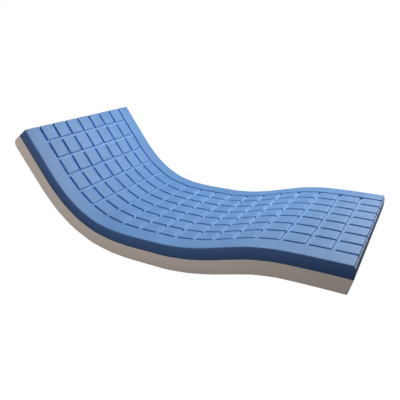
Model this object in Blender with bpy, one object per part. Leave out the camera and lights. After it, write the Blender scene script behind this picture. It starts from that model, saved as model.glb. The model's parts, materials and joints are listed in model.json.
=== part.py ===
"""Pressure relief mattress core: a castellated top foam sheet bonded to a plain base foam sheet.

The mattress lies along X with its foot end towards +X, its width along Y and +Z up. The origin is on
the underside, in the middle of the seat. The two foam sheets are modelled in sections that hinge at
the crosswise grooves. The sections are shaped lying flat and then raised at the back and the knees.
"""

import math

import bmesh
import bpy
from mathutils import Matrix, Vector

NAME = "pressure_relief_mattress"

# The sheets, lying flat, in metres.
WIDTH = 0.880
TOP_THICKNESS = 0.064
BASE_THICKNESS = 0.073
THICKNESS = TOP_THICKNESS + BASE_THICKNESS
ROWS = 18
SEAT_GROOVE = 9
ROW_PITCH = 0.1093
HEAD_ROW_LENGTH = 0.0945
FOOT_ROW_LENGTH = 0.103

# The castellation: grooves between the blocks, and a plain border along each side.
BLOCK_COLUMNS = 7
COLUMN_PITCH = 0.0977
GROOVE_WIDTH = 0.014
LENGTHWISE_DEPTH = 0.0125
CROSSWISE_DEPTH = 0.0110
FOOT_LEDGE = 0.005
HEAD_CORNER_RADIUS = 0.035
HEAD_CORNER_STEPS = 8
FOOT_UNDERCUT = 0.018

# Room between sections, and between the sheets, where the bond is.
GAP = 0.0003

# The bend at each crosswise groove in degrees, in the raised position. The back and thigh grooves
# close upwards about an axis at the groove floor. The knee grooves open upwards about the bond.
BACK_BENDS = {3: 6.7, 4: 9.9, 5: 12.4, 6: 13.1, 7: 8.3, 8: 4.2}
THIGH_BENDS = {10: 5.9, 11: 6.3, 12: 4.1}
KNEE_BENDS = {13: 1.1, 14: 6.7, 15: 6.3, 16: 1.7, 17: 0.8}
GROOVE_AXIS_Z = THICKNESS - CROSSWISE_DEPTH
KNEE_AXIS_Z = BASE_THICKNESS

# The furthest bend as a multiple of the one above, and the spare angle that each relief adds.
BACK_LIMIT = 1.30
LEG_LIMIT = 1.75
SPARE_ANGLE = math.radians(0.6)

# Each section's name, its first row and its last row, from the head end to the foot end.
SECTIONS = (
    ("back_rows_01_to_03", 1, 3),
    ("back_row_04", 4, 4),
    ("back_row_05", 5, 5),
    ("back_row_06", 6, 6),
    ("back_row_07", 7, 7),
    ("back_row_08", 8, 8),
    ("seat_rows_09_to_10", 9, 10),
    ("thigh_row_11", 11, 11),
    ("thigh_row_12", 12, 12),
    ("thigh_row_13", 13, 13),
    ("knee_row_14", 14, 14),
    ("knee_row_15", 15, 15),
    ("calf_row_16", 16, 16),
    ("calf_row_17", 17, 17),
    ("foot_row_18", 18, 18),
)
SEAT = 6


def groove_x(groove):
    """Where a crosswise groove's centre line is. Groove 0 is the head edge and 18 the foot edge."""
    x = (groove - SEAT_GROOVE) * ROW_PITCH
    if groove == 0:
        x += ROW_PITCH - HEAD_ROW_LENGTH
    if groove == ROWS:
        x += FOOT_ROW_LENGTH - ROW_PITCH
    return x


def setback(groove, z):
    """How far a section's end stands back from its hinge groove at height z.

    Above a groove axis and below the knee axis the ends lean back, to leave room for the bend.
    """
    if groove in KNEE_BENDS:
        furthest = KNEE_BENDS[groove] * LEG_LIMIT
        closing = KNEE_AXIS_Z - z
    elif groove in THIGH_BENDS:
        furthest = THIGH_BENDS[groove] * LEG_LIMIT
        closing = z - GROOVE_AXIS_Z
    else:
        furthest = BACK_BENDS[groove] * BACK_LIMIT
        closing = z - GROOVE_AXIS_Z
    relief = math.radians(furthest) / 2 + SPARE_ANGLE
    return GAP / 2 + max(closing, 0) * math.tan(relief)


def hinge_end(groove, side, z_low, z_high):
    """The end outline of a section at a hinge, from z_low up to z_high. side is +1 at its foot end."""
    heights = [z_low, z_high]
    if groove not in KNEE_BENDS and z_low < GROOVE_AXIS_Z < z_high:
        heights.insert(1, GROOVE_AXIS_Z)
    return [(groove_x(groove) - side * setback(groove, z), z) for z in heights]


def top_ends(first_row, last_row):
    """The head-end and foot-end outlines of a top foam section, each from the bond upwards."""
    low = BASE_THICKNESS + GAP / 2
    if first_row == 1:
        head = [(groove_x(0), low), (groove_x(0), THICKNESS)]
    else:
        head = hinge_end(first_row - 1, -1, low, THICKNESS)
    if last_row == ROWS:
        edge = groove_x(ROWS)
        ledge = THICKNESS - CROSSWISE_DEPTH
        foot = [(edge + FOOT_LEDGE, low), (edge + FOOT_LEDGE, ledge), (edge, ledge), (edge, THICKNESS)]
    else:
        foot = hinge_end(last_row, 1, low, THICKNESS)
    return head, foot


def base_ends(first_row, last_row):
    """The head-end and foot-end outlines of a base foam section, each from the underside upwards."""
    high = BASE_THICKNESS - GAP / 2
    if first_row == 1:
        centre_x = groove_x(0) + HEAD_CORNER_RADIUS
        turns = [math.pi / 2 * step / HEAD_CORNER_STEPS for step in range(HEAD_CORNER_STEPS + 1)]
        head = [
            (
                centre_x - HEAD_CORNER_RADIUS * math.sin(turn),
                HEAD_CORNER_RADIUS * (1 - math.cos(turn)),
            )
            for turn in turns
        ]
        head.append((groove_x(0), high))
    else:
        head = hinge_end(first_row - 1, -1, 0, high)
    if last_row == ROWS:
        edge = groove_x(ROWS) + FOOT_LEDGE
        foot = [(edge - FOOT_UNDERCUT, 0), (edge, high)]
    else:
        foot = hinge_end(last_row, 1, 0, high)
    return head, foot


def slab(name, ends, collection):
    """A solid with the side outline given by its two ends, as wide as the mattress."""
    head, foot = ends
    outline = foot + head[::-1]
    curve = bpy.data.curves.new(name, "CURVE")
    curve.dimensions = "2D"
    curve.fill_mode = "BOTH"
    curve.extrude = WIDTH / 2
    spline = curve.splines.new("POLY")
    spline.points.add(len(outline) - 1)
    for point, (x, z) in zip(spline.points, outline):
        point.co = (x, z, 0, 1)
    spline.use_cyclic_u = True
    drawn = bpy.data.objects.new(name + "_outline", curve)
    collection.objects.link(drawn)
    bpy.context.view_layer.update()
    mesh = bpy.data.meshes.new_from_object(drawn.evaluated_get(bpy.context.evaluated_depsgraph_get()))
    bpy.data.objects.remove(drawn)
    mesh.transform(Matrix.Rotation(math.pi / 2, 4, "X"))
    welded = bmesh.new()
    welded.from_mesh(mesh)
    bmesh.ops.remove_doubles(welded, verts=welded.verts, dist=0.00002)
    bmesh.ops.recalc_face_normals(welded, faces=welded.faces)
    welded.to_mesh(mesh)
    welded.free()
    mesh.name = name
    piece = bpy.data.objects.new(name, mesh)
    collection.objects.link(piece)
    return piece


def bars(name, boxes, collection):
    """A hidden cutter made of separate boxes, each given by its centre and its size."""
    shape = bmesh.new()
    for centre, size in boxes:
        matrix = Matrix.Translation(centre) @ Matrix.Diagonal(Vector((*size, 1)))
        bmesh.ops.create_cube(shape, size=1, matrix=matrix)
    mesh = bpy.data.meshes.new(name)
    shape.to_mesh(mesh)
    shape.free()
    cutter = bpy.data.objects.new(name, mesh)
    cutter.hide_render = True
    cutter.display_type = "WIRE"
    collection.objects.link(cutter)
    return cutter


def groove_cutters(collection):
    """The two sets of bars that cut the grooves of the flat top sheet."""
    above = 0.020
    half_span = BLOCK_COLUMNS * COLUMN_PITCH / 2
    lengthwise = [
        (
            (0, column * COLUMN_PITCH - half_span, THICKNESS + (above - LENGTHWISE_DEPTH) / 2),
            (3 * ROWS * ROW_PITCH, GROOVE_WIDTH, above + LENGTHWISE_DEPTH),
        )
        for column in range(BLOCK_COLUMNS + 1)
    ]
    crosswise = [
        (
            (groove_x(groove), 0, THICKNESS + (above - CROSSWISE_DEPTH) / 2),
            (GROOVE_WIDTH, 2 * half_span, above + CROSSWISE_DEPTH),
        )
        for groove in range(1, ROWS)
    ]
    return [
        bars("lengthwise_groove_cutter", lengthwise, collection),
        bars("crosswise_groove_cutter", crosswise, collection),
    ]


def cut(piece, cutters):
    """Cuts the piece with each cutter and keeps the result as its mesh."""
    for cutter in cutters:
        boolean = piece.modifiers.new(cutter.name, "BOOLEAN")
        boolean.operation = "DIFFERENCE"
        boolean.solver = "EXACT"
        boolean.object = cutter
    bpy.context.view_layer.update()
    graph = bpy.context.evaluated_depsgraph_get()
    whole = piece.data
    piece.data = bpy.data.meshes.new_from_object(piece.evaluated_get(graph))
    piece.modifiers.clear()
    bpy.data.meshes.remove(whole)
    piece.data.name = piece.name


def foam(name, colour, roughness):
    """An open-cell foam material."""
    material = bpy.data.materials.new(name)
    material.use_nodes = True
    shader = material.node_tree.nodes["Principled BSDF"]
    shader.inputs["Base Color"].default_value = (*colour, 1)
    shader.inputs["Roughness"].default_value = roughness
    shader.inputs["Metallic"].default_value = 0
    material.diffuse_color = (*colour, 1)
    return material


def hinge_axis(groove, degrees, parent, parent_axis, collection):
    """An empty on a groove's hinge axis that holds the raised sections beyond it."""
    axis = Vector((groove_x(groove), 0, KNEE_AXIS_Z if groove in KNEE_BENDS else GROOVE_AXIS_Z))
    empty = bpy.data.objects.new(f"hinge_axis_groove_{groove:02d}", None)
    empty.empty_display_size = 0.05
    collection.objects.link(empty)
    empty.parent = parent
    empty.location = axis - parent_axis
    empty.rotation_euler = (0, math.radians(degrees), 0)
    return empty, axis


def hold(pieces, empty, axis):
    """Parents flat pieces to a hinge axis, so that they turn about it."""
    for piece in pieces:
        piece.parent = empty
        piece.location = -axis


def make_sections(collection, cutters):
    """The two foam pieces of every section, shaped lying flat."""
    blue = foam("castellated_top_foam", (0.195, 0.365, 0.685), 0.88)
    beige = foam("base_foam", (0.345, 0.300, 0.245), 0.92)
    sections = []
    for name, first_row, last_row in SECTIONS:
        top = slab("top_foam_" + name, top_ends(first_row, last_row), collection)
        base = slab("base_foam_" + name, base_ends(first_row, last_row), collection)
        cut(top, cutters)
        top.data.materials.clear()
        top.data.materials.append(blue)
        base.data.materials.append(beige)
        sections.append((top, base))
    return sections


def raise_sections(sections, collection):
    """Bends the flat mattress at its hinge grooves, outwards from the seat."""
    parent, parent_axis = None, Vector()
    for index in range(SEAT - 1, -1, -1):
        groove = SECTIONS[index][2]
        parent, parent_axis = hinge_axis(groove, BACK_BENDS[groove], parent, parent_axis, collection)
        hold(sections[index], parent, parent_axis)
    leg_bends = {groove: -bend for groove, bend in THIGH_BENDS.items()} | KNEE_BENDS
    parent, parent_axis = None, Vector()
    for index in range(SEAT + 1, len(SECTIONS)):
        groove = SECTIONS[index][1] - 1
        parent, parent_axis = hinge_axis(groove, leg_bends[groove], parent, parent_axis, collection)
        hold(sections[index], parent, parent_axis)


def main():
    for obj in list(bpy.data.objects):
        bpy.data.objects.remove(obj, do_unlink=True)
    parts = bpy.data.collections.new(NAME)
    cutters = bpy.data.collections.new("cutters")
    bpy.context.scene.collection.children.link(parts)
    bpy.context.scene.collection.children.link(cutters)
    sections = make_sections(parts, groove_cutters(cutters))
    raise_sections(sections, parts)


main()
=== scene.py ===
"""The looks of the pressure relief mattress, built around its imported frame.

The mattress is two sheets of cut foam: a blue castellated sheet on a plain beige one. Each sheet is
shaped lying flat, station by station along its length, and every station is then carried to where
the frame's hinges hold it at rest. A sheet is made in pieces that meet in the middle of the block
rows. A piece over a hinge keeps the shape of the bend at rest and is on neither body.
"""
import json
import math
import re

import bmesh
import bpy
import numpy as np
from mathutils import Matrix, Vector

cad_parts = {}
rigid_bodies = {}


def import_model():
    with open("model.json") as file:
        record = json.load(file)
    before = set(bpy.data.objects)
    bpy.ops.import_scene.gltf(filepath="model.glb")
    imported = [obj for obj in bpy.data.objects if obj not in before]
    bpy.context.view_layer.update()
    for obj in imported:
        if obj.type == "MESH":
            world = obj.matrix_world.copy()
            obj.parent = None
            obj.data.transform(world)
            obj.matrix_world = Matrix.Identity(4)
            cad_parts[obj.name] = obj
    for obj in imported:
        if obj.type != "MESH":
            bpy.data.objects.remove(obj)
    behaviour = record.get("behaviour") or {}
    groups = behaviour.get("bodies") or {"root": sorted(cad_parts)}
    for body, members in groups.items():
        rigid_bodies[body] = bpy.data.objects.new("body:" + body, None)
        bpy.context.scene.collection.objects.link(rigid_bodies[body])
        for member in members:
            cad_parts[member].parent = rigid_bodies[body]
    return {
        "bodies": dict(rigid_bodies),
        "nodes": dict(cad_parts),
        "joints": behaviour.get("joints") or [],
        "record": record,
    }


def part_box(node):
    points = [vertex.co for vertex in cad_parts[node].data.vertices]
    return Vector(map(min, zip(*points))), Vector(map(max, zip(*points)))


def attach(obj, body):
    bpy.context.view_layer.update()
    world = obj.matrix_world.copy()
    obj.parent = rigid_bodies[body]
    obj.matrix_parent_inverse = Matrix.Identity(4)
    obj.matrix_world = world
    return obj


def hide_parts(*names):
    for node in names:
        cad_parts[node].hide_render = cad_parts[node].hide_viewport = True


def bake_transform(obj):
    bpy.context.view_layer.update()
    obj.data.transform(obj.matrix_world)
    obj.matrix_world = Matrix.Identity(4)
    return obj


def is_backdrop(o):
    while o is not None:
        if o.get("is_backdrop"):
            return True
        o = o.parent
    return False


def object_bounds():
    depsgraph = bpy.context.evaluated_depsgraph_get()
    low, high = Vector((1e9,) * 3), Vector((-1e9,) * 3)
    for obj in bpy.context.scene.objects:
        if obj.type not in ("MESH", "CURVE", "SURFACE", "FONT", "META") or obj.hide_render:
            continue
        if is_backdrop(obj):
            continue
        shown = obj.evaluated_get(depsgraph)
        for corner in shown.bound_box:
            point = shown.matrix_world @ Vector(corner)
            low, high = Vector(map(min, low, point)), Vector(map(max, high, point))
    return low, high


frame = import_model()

CAD_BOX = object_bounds()

# Sizes in metres, of the foam sheets lying flat.
BLOCK_COLUMNS = 7
COLUMN_PITCH = 0.0977
GROOVE_WIDTH = 0.014
LENGTHWISE_DEPTH = 0.0125
CROSSWISE_DEPTH = 0.0110
FOOT_LEDGE = 0.005
HEAD_CORNER_RADIUS = 0.035
FOOT_UNDERCUT = 0.018
ROWS = 18
SEAT_GROOVE = 9
TOP_EDGE_RADIUS = 0.0045
BASE_EDGE_RADIUS = 0.0030
SEAM_RADIUS = 0.0009
BLOCK_CROWN = 0.0006
BORDER_CROWN = 0.0022
SURFACE_RIPPLE = 0.00045
SIDE_RIPPLE = 0.0009
SIDE_BULGE = 0.0008
UNDERSIDE_RIPPLE = 0.0003

# How far in from the sides their bulge is felt, and from a groove the painted highlight on its
# shoulders.
SIDE_REACH = 0.02
HIGHLIGHT_REACH = 0.004

# How finely the sheets are divided: over a block's top, and in the base over a row of blocks.
STEPS_ALONG_BLOCK = 8
STEPS_ACROSS_BLOCK = 6
BASE_STEPS_IN_ROW = 10

# Edges that are sharper than this are shaded as edges, and points nearer than this are one.
SHARP_ANGLE = math.radians(40)
SAME_PLACE = 1e-6

# The unevenness is a sum of this many waves, with pitches between these, in radians per metre. The
# scale brings it to about -1 to 1.
RIPPLE_WAVES = 9
RIPPLE_PITCHES = (4.0, 22.0)
RIPPLE_SCALE = 1.6

# What each surface's unevenness is drawn from.
SURFACE_SEED, UNDERSIDE_SEED, TOP_SIDE_SEED, BASE_SIDE_SEED = 3, 5, 11, 17

# At rest a sheet follows a plain turn about each hinge, mixed with this share of an even curve. The
# plain turn starts and ends this far inside the row middles beside the hinge.
CURVE_SHARE = 0.65
BLEND_MARGIN = 0.008

# The shape across a groove: a small fillet at the floor, an upright wall and a rounded shoulder.
FLOOR_FILLET = 0.0015
WALL_LEAN = 0.0002
LENGTHWISE_SHOULDER = 0.0018
CROSSWISE_SHOULDER = 0.0035


def groove_shape(depth, shoulder):
    """Half of a groove's section: distances from its centre line, and how deep the foam is there."""
    half = GROOVE_WIDTH / 2
    turns = np.radians([0, 30, 60, 90])
    floor_x = half - WALL_LEAN - FLOOR_FILLET + FLOOR_FILLET * np.sin(turns)
    floor_z = depth - FLOOR_FILLET * (1 - np.cos(turns))
    turns = np.radians([0, 22, 45, 68, 90])
    edge_x = half + WALL_LEAN + shoulder * (1 - np.cos(turns))
    edge_z = shoulder * (1 - np.sin(turns))
    return np.concatenate([[0.0], floor_x, edge_x]), np.concatenate([[depth], floor_z, edge_z])


LENGTHWISE = groove_shape(LENGTHWISE_DEPTH, LENGTHWISE_SHOULDER)
CROSSWISE = groove_shape(CROSSWISE_DEPTH, CROSSWISE_SHOULDER)


# ---------------------------------------------------------------- the frame, lying flat and at rest

def first_row(body):
    """The number of a body's first block row, which its name states."""
    return int(re.search(r"\d+", body).group())


def turn(point, degrees):
    """The turn about +Y at a point of the XZ plane, as a matrix for (x, z, 1)."""
    c, s = math.cos(math.radians(degrees)), math.sin(math.radians(degrees))
    x, z = point
    return np.array([[c, s, x - c * x - s * z], [-s, c, z + s * x - c * z], [0, 0, 1]])


def bend_at_rest(joint):
    """How many degrees a hinge is bent at rest, counted from lying flat."""
    for coupling in frame["record"]["behaviour"]["couplings"]:
        if coupling["joint"] == joint["name"]:
            lead = next(j for j in frame["joints"] if j["name"] == coupling["follows"])
            return coupling["ratio"] * bend_at_rest(lead)
    return -joint["range_deg"][0]


BODIES = sorted(frame["bodies"], key=first_row)
CHILDREN = {joint["child"]: joint for joint in frame["joints"]}
SEAT = next(body for body in BODIES if body not in CHILDREN)
SEAT_PLACE = BODIES.index(SEAT)


def flat_to_rest():
    """Each body's matrix from lying flat to rest, and each hinge as (flat axis point, signed bend)."""
    carried, hinges = {SEAT: np.eye(3)}, {}
    for body in BODIES[:SEAT_PLACE][::-1] + BODIES[SEAT_PLACE + 1:]:
        joint = CHILDREN[body]
        parent = carried[joint["parent"]]
        point = np.linalg.solve(parent, [joint["pos_m"][0], joint["pos_m"][2], 1])[:2]
        bend = bend_at_rest(joint) * joint["axis"][1]
        carried[body] = parent @ turn(point, bend)
        hinges[body] = (point, bend)
    return carried, hinges


CARRIED, HINGES = flat_to_rest()


def flat_span(node, body):
    """The lowest and highest x and z of a CAD node, lying flat."""
    co = np.array([v.co for v in frame["nodes"][node].data.vertices])
    flat = np.linalg.solve(CARRIED[body], np.array([co[:, 0], co[:, 2], np.ones(len(co))]))
    return flat[:2].min(1), flat[:2].max(1)


def node_of(layer, body):
    return f"{layer}_foam_{body}"


SEAT_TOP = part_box(node_of("top", SEAT))
SEAT_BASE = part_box(node_of("base", SEAT))
TOP_Z = SEAT_TOP[1].z
BOND_Z = (SEAT_TOP[0].z + SEAT_BASE[1].z) / 2
HALF_WIDTH = SEAT_TOP[1].y
PITCH = (HINGES[BODIES[SEAT_PLACE + 1]][0][0] - HINGES[BODIES[SEAT_PLACE - 1]][0][0]) / 2
HEAD_X = flat_span(node_of("top", BODIES[0]), BODIES[0])[0][0]
FOOT_X = flat_span(node_of("base", BODIES[-1]), BODIES[-1])[1][0]
BLOCKS_END_X = FOOT_X - FOOT_LEDGE
GRID_HALF = BLOCK_COLUMNS * COLUMN_PITCH / 2
GROOVES_X = [(groove - SEAT_GROOVE) * PITCH for groove in range(1, ROWS)]
GROOVES_Y = [column * COLUMN_PITCH - GRID_HALF for column in range(BLOCK_COLUMNS + 1)]


def middle(row):
    """The x of the middle of a block row, lying flat."""
    return (row - SEAT_GROOVE - 0.5) * PITCH


def body_of_row(row):
    return [body for body in BODIES if first_row(body) <= row][-1]


def cuts():
    """The pieces of a sheet, as (name, x from, x to, body inwards, body outwards)."""
    seat_first = first_row(SEAT)
    back_last = first_row(BODIES[1]) - 1
    found = [("head_rows", HEAD_X, middle(back_last), BODIES[0], BODIES[0])]
    for row in range(back_last, seat_first):
        name = f"rows_{row:02d}_to_{row + 1:02d}"
        found.append((name, middle(row), middle(row + 1), body_of_row(row + 1), body_of_row(row)))
    found.append(("seat_rows", middle(seat_first), middle(seat_first + 1), SEAT, SEAT))
    for row in range(seat_first + 1, ROWS):
        name = f"rows_{row:02d}_to_{row + 1:02d}"
        found.append((name, middle(row), middle(row + 1), body_of_row(row), body_of_row(row + 1)))
    found.append(("foot_row", middle(ROWS), FOOT_X, BODIES[-1], BODIES[-1]))
    return found


CUTS = cuts()


def eased(share):
    share = min(max(share, 0), 1)
    return share * share * (3 - 2 * share)


def bent_section(hinge, bend, x, low, high, forwards):
    """The matrix for the flat section at x, from low to high, around the hinge halfway.

    The section beyond the hinge is the one that turns. It is on the high side if forwards holds.
    """
    side = 1 if forwards else -1
    length = high - low
    travelled = side * (x - (low if forwards else high))
    along = travelled / length
    share = eased((travelled - BLEND_MARGIN) / (length - 2 * BLEND_MARGIN))
    flat = np.array([x, hinge[1]])
    turned = (turn(hinge, bend * share) @ np.append(flat, 1))[:2]
    arm = np.array([side * length / 2, 0.0])
    curved = hinge - (1 - along) ** 2 * arm + along ** 2 * (turn((0, 0), bend)[:2, :2] @ arm)
    c, s = math.cos(math.radians(bend)), math.sin(math.radians(bend))
    heading = math.degrees(math.atan2(along * s, 1 - along + along * c))
    placed = turned + CURVE_SHARE * (curved - turned)
    section = turn((0, 0), bend * share + CURVE_SHARE * (heading - bend * share))
    section[:2, 2] = placed - section[:2, :2] @ flat
    return section


def station_matrix(x):
    """The matrix that carries the flat section at x to rest."""
    for _, low, high, inner, outer in CUTS:
        if low <= x <= high and inner == outer:
            return CARRIED[inner]
        if low <= x <= high:
            hinge, bend = HINGES[outer]
            forwards = low > middle(first_row(SEAT))
            return CARRIED[inner] @ bent_section(hinge, bend, x, low, high, forwards)
    return CARRIED[BODIES[0] if x < 0 else BODIES[-1]]


# ------------------------------------------------------------------------------- shaping the foam

def ripple(seed, x, y):
    """A smooth, repeatable unevenness between about -1 and 1 over the flat sheet."""
    draw = np.random.default_rng(seed)
    total = np.zeros(np.broadcast(x, y).shape)
    for _ in range(RIPPLE_WAVES):
        heading = draw.uniform(0, math.pi)
        pitch = draw.uniform(*RIPPLE_PITCHES)
        phase = draw.uniform(0, 2 * math.pi)
        total += np.sin(pitch * (math.cos(heading) * x + math.sin(heading) * y) + phase)
    return total / math.sqrt(RIPPLE_WAVES) / RIPPLE_SCALE


def nearest(values, places):
    """The distance from each value to the nearest place."""
    return np.abs(np.subtract.outer(values, places)).min(-1)


def top_depths(x, y):
    """The depths of the lengthwise and of the crosswise cuts over the flat grid x by y."""
    lengthwise = np.interp(nearest(y, GROOVES_Y), *LENGTHWISE)
    crosswise = np.interp(nearest(x, GROOVES_X), *CROSSWISE)
    inside = np.abs(y) < GRID_HALF
    ledge = np.interp(BLOCKS_END_X - x + GROOVE_WIDTH / 2, *CROSSWISE)
    cut_x = np.maximum(crosswise[:, None] * inside[None, :], ledge[:, None])
    return np.tile(lengthwise, (len(x), 1)), cut_x


def rounding(distance, radius):
    """How far a rounded edge has dropped at a distance inside the edge."""
    inside = np.clip(distance, 0, radius)
    return radius - np.sqrt(np.maximum(radius ** 2 - (radius - inside) ** 2, 0))


def crowns(x, y):
    """How far the blocks and the borders fall away from their highest points."""
    along = (x / PITCH) % 1.0 * 2 - 1
    across = ((y + GRID_HALF) / COLUMN_PITCH) % 1.0 * 2 - 1
    blocks = BLOCK_CROWN * (np.abs(along[:, None]) ** 3 + np.abs(across[None, :]) ** 3)
    outwards = np.clip((np.abs(y) - GRID_HALF) / (HALF_WIDTH - GRID_HALF), 0, 1)
    borders = np.tile(BORDER_CROWN * outwards ** 3, (len(x), 1))
    return np.where((np.abs(y) < GRID_HALF)[None, :], blocks, borders)


def top_surface(x, y):
    """The height of the top sheet over the flat grid x by y."""
    uneven = SURFACE_RIPPLE * ripple(SURFACE_SEED, x[:, None], y[None, :])
    head = rounding(x - HEAD_X, TOP_EDGE_RADIUS)
    return TOP_Z - np.maximum(*top_depths(x, y)) - crowns(x, y) + uneven - head[:, None]


def mirrored(values):
    return np.unique(np.round(np.concatenate([-np.asarray(values), np.asarray(values)]), 7))


def lines_between(places, shape, low, high, steps):
    """Grid lines over grooves at the given places, with a few even steps on the foam between them."""
    lines = [place + mirrored(shape[0]) for place in places]
    rim = shape[0][-1]
    edges = [low - rim, *places, high + rim]
    for a, b in zip(edges[:-1], edges[1:]):
        if b - a > 3 * rim:
            lines.append(np.linspace(a + rim, b - rim, steps + 1))
    return np.unique(np.round(np.concatenate(lines), 7))


def top_stations():
    """The x of every station of the top sheet, lying flat."""
    lines = lines_between(GROOVES_X, CROSSWISE, HEAD_X, BLOCKS_END_X, STEPS_ALONG_BLOCK)

    # The rounded head edge, the shoulder of the last blocks and the ledge beyond it.
    head = HEAD_X + TOP_EDGE_RADIUS * (1 - np.cos(np.linspace(0, math.pi / 2, 6)))
    foot = BLOCKS_END_X - (CROSSWISE[0][1:] - GROOVE_WIDTH / 2)
    ledge = np.array([BLOCKS_END_X + 0.0012, BLOCKS_END_X + 0.0028, FOOT_X - 0.0008, FOOT_X])
    middles = [middle(row) for row in range(2, ROWS + 1)]
    lines = lines[(lines > head[-1] + 0.001) & (lines < BLOCKS_END_X - 0.004)]
    lines = np.concatenate([lines, head, foot, ledge, middles])
    return merged(lines)


def base_stations():
    """The x of every station of the base sheet, lying flat."""
    # The rounded head corner and the foot edge have finer steps than the rest.
    corner = HEAD_X + HEAD_CORNER_RADIUS * (1 - np.cos(np.linspace(0, math.pi / 2, 14)))
    foot = FOOT_X - np.array([0.0, 0.0004, 0.0012, 0.0025])
    body = np.arange(middle(2), middle(ROWS) + SAME_PLACE, PITCH / BASE_STEPS_IN_ROW)
    last = np.linspace(middle(ROWS), FOOT_X - 0.006, 6)
    before = np.linspace(corner[-1], middle(2), 5)
    return merged(np.concatenate([corner, foot, body, last, before]))


def merged(values):
    """The values in order, without any that all but repeat the one before."""
    values = np.unique(np.round(values, 7))
    return values[np.concatenate([[True], np.diff(values) > 2 * SAME_PLACE])]


def side_loop(across, drops, radius, full):
    """Half a loop's outline from the middle line outwards and down: y, and the share of the way down."""
    fillet = np.linspace(0, math.pi / 2, 6)[1:]
    edge_y = HALF_WIDTH - radius * (1 - np.sin(fillet))
    edge_down = radius * (1 - np.cos(fillet)) / full
    y = np.concatenate([across, edge_y, np.full(len(drops), HALF_WIDTH)])
    down = np.concatenate([np.zeros(len(across)), edge_down, drops])
    return y, down


def top_loop():
    """The top sheet's section, round from the middle of its underside: y and share of the way down."""
    full = TOP_Z - BOND_Z
    across = lines_between(GROOVES_Y, LENGTHWISE, -HALF_WIDTH, HALF_WIDTH, STEPS_ACROSS_BLOCK)
    across = across[(across >= 0) & (across < HALF_WIDTH - TOP_EDGE_RADIUS - 0.002)]
    across = np.append(across, HALF_WIDTH - TOP_EDGE_RADIUS)
    drops = np.concatenate([np.linspace(0.2, 0.96, 7), 1 - SEAM_RADIUS / full * np.array([0.7, 0.2])])
    y, down = side_loop(across, drops, TOP_EDGE_RADIUS, full)
    y = np.concatenate([y, HALF_WIDTH - SEAM_RADIUS * np.array([0.3, 1.0])])
    down = np.concatenate([down, [1 - 0.05 * SEAM_RADIUS / full, 1.0]])
    under = np.linspace(HALF_WIDTH - SIDE_REACH, 0, 8)
    y = np.concatenate([y, under])
    down = np.concatenate([down, np.ones(len(under))])
    start = 1 if y[0] == 0 else 0
    left_y, left_down = -y[start:-1][::-1], down[start:-1][::-1]
    return np.concatenate([left_y, y]), np.concatenate([left_down, down])


def base_loop():
    """The base sheet's section, round from the middle of its underside: y and share of the way down."""
    full = BOND_Z
    across = np.linspace(0, HALF_WIDTH - SIDE_REACH, 8)
    seam = np.array([1.0, 0.3, 0.0])
    y = np.concatenate([across, HALF_WIDTH - SEAM_RADIUS * seam])
    down = np.concatenate([np.zeros(len(across)), SEAM_RADIUS * np.array([0.0, 0.15, 0.9]) / full])
    walls = np.linspace(0.06, 1 - BASE_EDGE_RADIUS / full, 8)
    fillet = np.linspace(0, math.pi / 2, 6)[1:]
    under = np.linspace(HALF_WIDTH - SIDE_REACH, 0, 16)
    edge_y = HALF_WIDTH - BASE_EDGE_RADIUS * (1 - np.cos(fillet))
    edge_down = 1 - BASE_EDGE_RADIUS * (1 - np.sin(fillet)) / full
    y = np.concatenate([y, np.full(len(walls), HALF_WIDTH), edge_y, under])
    down = np.concatenate([down, walls, edge_down, np.ones(len(under))])
    return np.concatenate([-y[1:-1][::-1], y]), np.concatenate([down[1:-1][::-1], down])


def end_inset(x, radius):
    """How far the sides draw in where they round into the head and foot ends."""
    return rounding(np.minimum(x - HEAD_X, FOOT_X - x), radius)


def shape_sides(x, y, down, seed, radius):
    """The y of every point, with a slight bulge and unevenness and the rounded upright corners."""
    outer = np.clip((np.abs(y) - (HALF_WIDTH - SIDE_REACH)) / SIDE_REACH, 0, 1)
    sign = np.sign(y)
    uneven = SIDE_RIPPLE * ripple(seed, x[:, None], sign[None, :] * (1 + down[None, :] * 0.06))
    bulge = SIDE_BULGE * np.sin(math.pi * np.clip(down, 0, 1))
    inset = end_inset(x, radius)[:, None]
    outwards = uneven + bulge[None, :] - SIDE_BULGE * 0.75 - inset
    return y[None, :] + sign[None, :] * outer[None, :] * outwards


def top_sheet(x):
    """The top sheet's stations: the flat points y and z, and a mark for what the foam shows there.

    The mark says how far a point is in a crosswise cut, in a lengthwise cut, on a cut side or end face,
    and how much painted highlight it has beside a crosswise groove; the raised back gets less.
    """
    y, down = top_loop()
    surface = top_surface(x, y)
    z = BOND_Z + (surface - BOND_Z) * (1 - down[None, :])
    wide = shape_sides(x, y, down, TOP_SIDE_SEED, TOP_EDGE_RADIUS)
    lengthwise, crosswise = top_depths(x, y)
    upper = down[None, :] == 0
    lengthwise = np.clip(lengthwise / LENGTHWISE_DEPTH, 0, 1) * upper
    crosswise = np.clip(crosswise / CROSSWISE_DEPTH, 0, 1) * upper
    off_groove = np.maximum(nearest(x, GROOVES_X) - GROOVE_WIDTH / 2, 0)
    # A painted highlight on the shoulders beside each crosswise groove, weaker on the raised back.
    shoulder_highlight = np.exp(-off_groove / HIGHLIGHT_REACH) * np.interp(x, [middle(6), middle(8)], [0.3, 1.0])
    on_blocks = (np.abs(y) < GRID_HALF)[None, :] * (np.maximum(lengthwise, crosswise) < 0.5)
    # The head and foot end faces take the cut sides' colour, which paints shade on them.
    ends = ((x > FOOT_X - FOOT_LEDGE * 0.1) | (x < HEAD_X + SAME_PLACE))[:, None]
    side = np.maximum(np.clip(down * 30, 0, 1)[None, :], ends)
    mark = np.stack([crosswise * ~ends, lengthwise * ~ends, side, shoulder_highlight[:, None] * on_blocks], -1)
    return wide, z, mark


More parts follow.
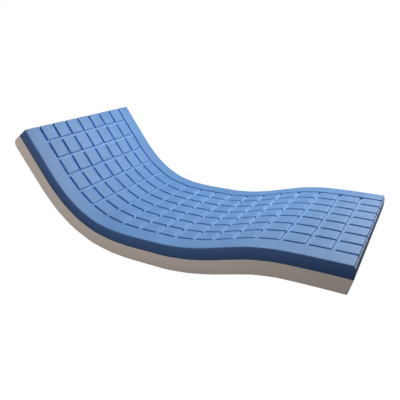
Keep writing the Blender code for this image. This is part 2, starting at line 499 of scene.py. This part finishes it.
def base_sheet(x):
    """The base sheet's stations, as for the top sheet."""
    y, down = base_loop()
    lift = rounding(x - HEAD_X, HEAD_CORNER_RADIUS)
    uneven = UNDERSIDE_RIPPLE * ripple(UNDERSIDE_SEED, x[:, None], y[None, :]) * (down[None, :] > 0.99)
    z = lift[:, None] + (BOND_Z - lift[:, None]) * (1 - down[None, :]) + np.maximum(uneven, 0)
    wide = shape_sides(x, y, down, BASE_SIDE_SEED, BASE_EDGE_RADIUS)
    # The base's sides take the side colours, whose painted shade darkens them low down.
    side = np.tile(((np.abs(y) > HALF_WIDTH - 0.01) & (down < 0.97)).astype(float), (len(x), 1))
    zero = np.zeros_like(side)
    return wide, z, np.stack([zero, zero, side, zero], -1)


def loft(name, x, y, z, mark):
    """A closed mesh through the stations, carried from lying flat to rest.

    Below the bond, the foot end slants back, and the last row's stations lean with it.
    """
    count, around = y.shape
    cut_back = FOOT_UNDERCUT * np.clip((x - middle(ROWS)) / (FOOT_X - middle(ROWS)), 0, 1)[:, None]
    long = x[:, None] - cut_back * np.clip(1 - z / BOND_Z, 0, 1)
    flat = np.stack([long.ravel(), y.ravel(), z.ravel()], 1)
    carried = np.empty_like(flat)
    for station in range(count):
        rows = slice(station * around, (station + 1) * around)
        section = np.stack([flat[rows, 0], flat[rows, 2], np.ones(around)])
        moved = station_matrix(x[station]) @ section
        carried[rows] = np.stack([moved[0], flat[rows, 1], moved[1]], 1)
    index = np.arange(count * around).reshape(count, around)
    a, b = index[:-1], index[1:]
    quads = np.stack([a, np.roll(a, -1, 1), np.roll(b, -1, 1), b], -1).reshape(-1, 4)
    faces = quads.tolist() + [index[0][::-1].tolist(), index[-1].tolist()]
    mesh = bpy.data.meshes.new(name)
    mesh.from_pydata(carried.tolist(), [], faces)
    flat_places = mesh.attributes.new("foam_flat", "FLOAT_VECTOR", "POINT")
    flat_places.data.foreach_set("vector", flat.astype(np.float32).ravel())
    marks = mesh.attributes.new("foam_mark", "FLOAT_COLOR", "POINT")
    marks.data.foreach_set("color", mark.astype(np.float32).ravel())
    shape = bmesh.new()
    shape.from_mesh(mesh)
    bmesh.ops.recalc_face_normals(shape, faces=shape.faces)
    shape.to_mesh(mesh)
    shape.free()
    mesh.shade_smooth()
    mesh.set_sharp_from_angle(angle=SHARP_ANGLE)
    for end in mesh.polygons[-2:]:
        end.use_smooth = False
    piece = bpy.data.objects.new(name, mesh)
    bpy.context.scene.collection.objects.link(piece)
    return piece


def place(x, z):
    """A point on the middle line, carried from lying flat to rest."""
    moved = station_matrix(x) @ np.array([x, z, 1])
    return (float(moved[0]), 0.0, float(moved[1]))


def make_sheet(layer, stations, shaper, material):
    """All the pieces of one sheet, each on its body, or over its hinge on neither body."""
    for name, low, high, inner, outer in CUTS:
        x = stations[(stations >= low - SAME_PLACE) & (stations <= high + SAME_PLACE)]
        piece = loft(f"{layer}_foam_{name}", x, *shaper(x))
        piece.data.materials.append(material)
        if inner == outer:
            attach(piece, inner)
        else:
            ends = [place(low + BLEND_MARGIN, BOND_Z), place(high - BLEND_MARGIN, BOND_Z)]
            start, end = ends if low > middle(first_row(SEAT)) else ends[::-1]
            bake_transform(piece)
        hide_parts(node_of(layer, outer))


# -------------------------------------------------------------------------------------- materials

class Tree:
    """A short way to build a material's nodes."""

    def __init__(self, name):
        self.material = bpy.data.materials.new(name)
        self.material.use_nodes = True
        self.nodes = self.material.node_tree.nodes
        self.links = self.material.node_tree.links
        self.shader = self.nodes["Principled BSDF"]

    def node(self, kind, inputs=(), **settings):
        made = self.nodes.new(kind)
        for key, value in settings.items():
            setattr(made, key, value)
        for key, value in dict(inputs).items():
            if isinstance(value, bpy.types.NodeSocket):
                self.links.new(value, made.inputs[key])
            else:
                made.inputs[key].default_value = value
        return made

    def attribute(self, name):
        return self.node("ShaderNodeAttribute", attribute_name=name)

    def noise(self, place, scale, detail, roughness):
        inputs = {"Vector": place, "Scale": scale, "Detail": detail, "Roughness": roughness}
        return self.node("ShaderNodeTexNoise", inputs).outputs["Fac"]

    def cells(self, place, scale):
        inputs = {"Vector": place, "Scale": scale, "Randomness": 1.0}
        return self.node("ShaderNodeTexVoronoi", inputs, feature="F1").outputs["Distance"]

    def math(self, operation, a, b):
        return self.node("ShaderNodeMath", {0: a, 1: b}, operation=operation).outputs[0]

    def span(self, value, low, high, to_low=0.0, to_high=1.0):
        inputs = {"Value": value, "From Min": low, "From Max": high, "To Min": to_low, "To Max": to_high}
        return self.node("ShaderNodeMapRange", inputs).outputs["Result"]

    def mix(self, share, a, b):
        made = self.node("ShaderNodeMix", data_type="RGBA")
        for socket, value in ((made.inputs[0], share), (made.inputs[6], a), (made.inputs[7], b)):
            if isinstance(value, bpy.types.NodeSocket):
                self.links.new(value, socket)
            elif isinstance(value, tuple):
                socket.default_value = (*value, 1.0)
            else:
                socket.default_value = value
        return made.outputs[2]

    def set(self, name, value):
        if isinstance(value, bpy.types.NodeSocket):
            self.links.new(value, self.shader.inputs[name])
        else:
            self.shader.inputs[name].default_value = value


def foam(name, colours, pore_scale):
    """Open-cell foam. Its mark blends in the colours of the cut sides, the grooves and the shoulders.

    A cut side is a darker cut-foam tone with painted shade, darker low down, from the height "low" to
    the height "high". The channels are the lengthwise grooves, painted with shade, and painted lighter
    on the back. Walls and floors are those of crosswise grooves, painted paler as painted light, and
    the shoulders beside them carry a painted highlight.
    """
    tree = Tree(name)
    place = tree.attribute("foam_flat").outputs["Vector"]
    along, _, height = tree.node("ShaderNodeSeparateXYZ", {"Vector": place}).outputs
    mark = tree.attribute("foam_mark")
    parts = tree.node("ShaderNodeSeparateColor", {"Color": mark.outputs["Color"]})
    crosswise, lengthwise, side = parts.outputs
    clouds = tree.noise(place, 7.0, 4.0, 0.55)
    blotches = tree.noise(place, 42.0, 3.0, 0.6)
    cells = tree.cells(place, pore_scale)
    grains = tree.noise(place, pore_scale * 1.9, 2.0, 0.6)

    # Mottling in two sizes, and then the cut sides, whose colour carries painted shade that darkens low
    # down.
    colour = tree.mix(tree.span(clouds, 0.35, 0.68), colours["main"], colours["mottled"])
    colour = tree.mix(tree.span(blotches, 0.42, 0.75, 0.0, 0.35), colour, colours["mottled"])
    raised = tree.span(height, colours["low"], colours["high"])
    colour = tree.mix(side, colour, tree.mix(raised, colours["side_shade_low"], colours["side"]))

    # The lengthwise grooves, painted with shade and painted lighter on the back, and then the crosswise
    # ones, painted paler as painted light. Those of the raised back show less.
    back_to_seat = tree.span(along, middle(5), middle(8))
    channel = tree.mix(back_to_seat, colours["back_channel_light"], colours["channel"])
    colour = tree.mix(tree.span(lengthwise, 0.1, 0.6), colour, channel)
    lit_wall = tree.mix(tree.span(crosswise, 0.86, 1.0), colours["lit_wall"], colours["floor"])
    # The painted light in the crosswise grooves is weaker on the raised back.
    groove_paint_share = tree.span(along, middle(6), middle(8), 0.85, 1.0)
    groove_light = tree.math("MULTIPLY", tree.span(crosswise, 0.05, 0.3), groove_paint_share)
    colour = tree.mix(groove_light, colour, lit_wall)

    # The painted highlight on the groove shoulders, and the pits of the open cells.
    shoulder_highlight = tree.math("MULTIPLY", tree.span(blotches, 0.3, 0.7, 0.4, 0.9), mark.outputs["Alpha"])
    colour = tree.mix(shoulder_highlight, colour, colours["edge"])
    pits = tree.span(cells, 0.0, 0.34, 1.0, 0.0)
    pitted = tree.math("MULTIPLY", pits, tree.span(grains, 0.3, 0.7, 0.1, 0.5))
    tree.set("Base Color", tree.mix(pitted, colour, colours["pore"]))

    tree.set("Roughness", tree.span(grains, 0.3, 0.7, 0.48, 0.62))
    tree.set("Specular IOR Level", 0.5)
    tree.set("Sheen Weight", 0.10)
    tree.set("Sheen Roughness", 0.45)
    tree.set("Sheen Tint", (0.86, 0.93, 1.0, 1.0))

    # A soft unevenness, and the grain of the cells on top of it.
    soft = tree.node("ShaderNodeBump", {"Height": blotches, "Strength": 0.25, "Distance": 0.0012})
    relief = tree.math("ADD", tree.math("MULTIPLY", cells, 0.7), tree.math("MULTIPLY", grains, 0.5))
    inputs = {"Height": relief, "Strength": 0.35, "Distance": 0.0005, "Normal": soft.outputs[0]}
    tree.set("Normal", tree.node("ShaderNodeBump", inputs).outputs[0])
    return tree.material


# Colours of the two foams, and between which heights a cut side goes from its low colour to its side
# colour: painted shade that darkens the sides low down.
BLUE = dict(
    main=(0.087, 0.214, 0.452), mottled=(0.105, 0.246, 0.502), pore=(0.046, 0.120, 0.270),
    # The edge colour is a painted highlight for the groove shoulders.
    side=(0.021, 0.080, 0.232), side_shade_low=(0.013, 0.050, 0.146), edge=(0.200, 0.385, 0.690),
    # Groove colours: the crosswise walls and floors are painted light, the lengthwise channels painted
    # shade, and lighter on the back as painted light.
    lit_wall=(0.320, 0.550, 0.860), floor=(0.145, 0.305, 0.565),
    channel=(0.056, 0.180, 0.430), back_channel_light=(0.150, 0.370, 0.760),
    low=BOND_Z, high=TOP_Z - TOP_EDGE_RADIUS,
)
PLAIN_BEIGE = (0.520, 0.452, 0.392)
BEIGE = dict(
    main=PLAIN_BEIGE, mottled=(0.595, 0.525, 0.462), pore=(0.300, 0.255, 0.214),
    side=(0.545, 0.475, 0.420), side_shade_low=(0.525, 0.455, 0.398), edge=(0.620, 0.555, 0.490),
    lit_wall=PLAIN_BEIGE, floor=PLAIN_BEIGE, channel=PLAIN_BEIGE, back_channel_light=PLAIN_BEIGE,
    low=0.0, high=BOND_Z,
)

make_sheet("top", top_stations(), top_sheet, foam("blue_foam", BLUE, 520.0))
make_sheet("base", base_stations(), base_sheet, foam("beige_foam", BEIGE, 430.0))


# ------------------------------------------------------------------------- studio: floor and light

WHITE = (1.0, 1.0, 1.0, 1.0)
FLOOR_REACH = 14.0
FLOOR_GAP = 0.0005
FLOOR_GREY = (0.25, 0.25, 0.25, 1.0)

# What the camera sees of the floor is mostly this glow, so that it shows white.
FLOOR_GLOW = 1.05
GLOW_SHARE = 0.955

# The strength of the air's own light on the object.
AMBIENT = 0.045

# Each softbox: its name, centre, the point it faces, side length and watts.
SOFTBOXES = (
    ("key_behind_foot", (1.3, 2.1, 1.8), (0.4, 0.0, 0.2), 0.8, 37.0),
    ("behind_knees", (0.9, 1.2, 2.1), (0.4, 0.0, 0.2), 0.8, 16.0),
    ("over_seat", (0.2, 0.2, 1.4), (0.4, 0.0, 0.2), 0.8, 10.0),
    ("over_back", (-0.35, 0.4, 1.35), (-0.4, 0.0, 0.2), 0.8, 4.5),
    ("behind_head", (-2.7, -0.5, 0.7), (-0.6, 0.0, 0.3), 1.6, 14.0),
    ("front", (-0.7, -2.9, 1.0), (-0.1, 0.0, 0.2), 1.6, 40.0),
)


def floor():
    """A plain pale floor just below the object, which glows to the camera only."""
    tree = Tree("studio_floor")
    tree.set("Base Color", FLOOR_GREY)
    tree.set("Roughness", 1.0)
    tree.set("Specular IOR Level", 0.0)
    glow = tree.node("ShaderNodeEmission", {"Color": WHITE, "Strength": FLOOR_GLOW})
    seen = tree.node("ShaderNodeLightPath").outputs["Is Camera Ray"]
    share = tree.math("MULTIPLY", seen, GLOW_SHARE)
    mixed = tree.node("ShaderNodeMixShader", {0: share, 1: tree.shader.outputs[0], 2: glow.outputs[0]})
    tree.links.new(mixed.outputs[0], tree.nodes["Material Output"].inputs["Surface"])
    shape = bmesh.new()
    bmesh.ops.create_grid(shape, x_segments=2, y_segments=2, size=FLOOR_REACH)
    mesh = bpy.data.meshes.new("floor")
    shape.to_mesh(mesh)
    shape.free()
    ground = bpy.data.objects.new("floor", mesh)
    ground.location = (0, 0, min(CAD_BOX[0].z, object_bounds()[0].z) - FLOOR_GAP)
    ground.data.materials.append(tree.material)
    bpy.context.scene.collection.objects.link(ground)
    ground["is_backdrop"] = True


def air():
    """The air around the object: white to the camera, and a dim light for everything else."""
    world = bpy.data.worlds.new("studio_air")
    world.use_nodes = True
    nodes, links = world.node_tree.nodes, world.node_tree.links
    background = nodes["Background"]
    seen = nodes.new("ShaderNodeLightPath").outputs["Is Camera Ray"]
    strength = nodes.new("ShaderNodeMapRange")
    strength.inputs["To Min"].default_value = AMBIENT
    strength.inputs["To Max"].default_value = 1.0
    links.new(seen, strength.inputs["Value"])
    links.new(strength.outputs["Result"], background.inputs["Strength"])
    background.inputs["Color"].default_value = WHITE
    bpy.context.scene.world = world


def softbox(name, centre, target, size, watts):
    """A square area light that faces a point."""
    light = bpy.data.lights.new(name, "AREA")
    light.shape = "SQUARE"
    light.size = size
    light.energy = watts
    holder = bpy.data.objects.new(name, light)
    holder.location = centre
    holder.rotation_euler = (Vector(target) - Vector(centre)).to_track_quat("-Z", "Y").to_euler()
    holder.visible_camera = False
    bpy.context.scene.collection.objects.link(holder)


SENSOR_MM = 36.0
LENS_MM = 38.94
CAMERA_STANDS = (1.1608, -1.9999, 1.0865)
CAMERA_LOOKS = (-0.44841, 0.81868, -0.35873)
CAMERA_RIGHT = (0.87800, 0.47862, -0.00520)


def camera():
    """The camera, off the near side by the foot end, looking across and down at the mattress."""
    lens = bpy.data.cameras.new("camera")
    lens.sensor_width = SENSOR_MM
    lens.lens = LENS_MM
    holder = bpy.data.objects.new("camera", lens)
    back = -Vector(CAMERA_LOOKS).normalized()
    right = Vector(CAMERA_RIGHT).normalized()
    turned = Matrix((right, back.cross(right), back)).transposed()
    holder.location = CAMERA_STANDS
    holder.rotation_euler = turned.to_euler()
    bpy.context.scene.collection.objects.link(holder)
    bpy.context.scene.camera = holder


floor()
air()
for settings in SOFTBOXES:
    softbox(*settings)
camera()
bpy.context.scene.view_settings.view_transform = "Standard"
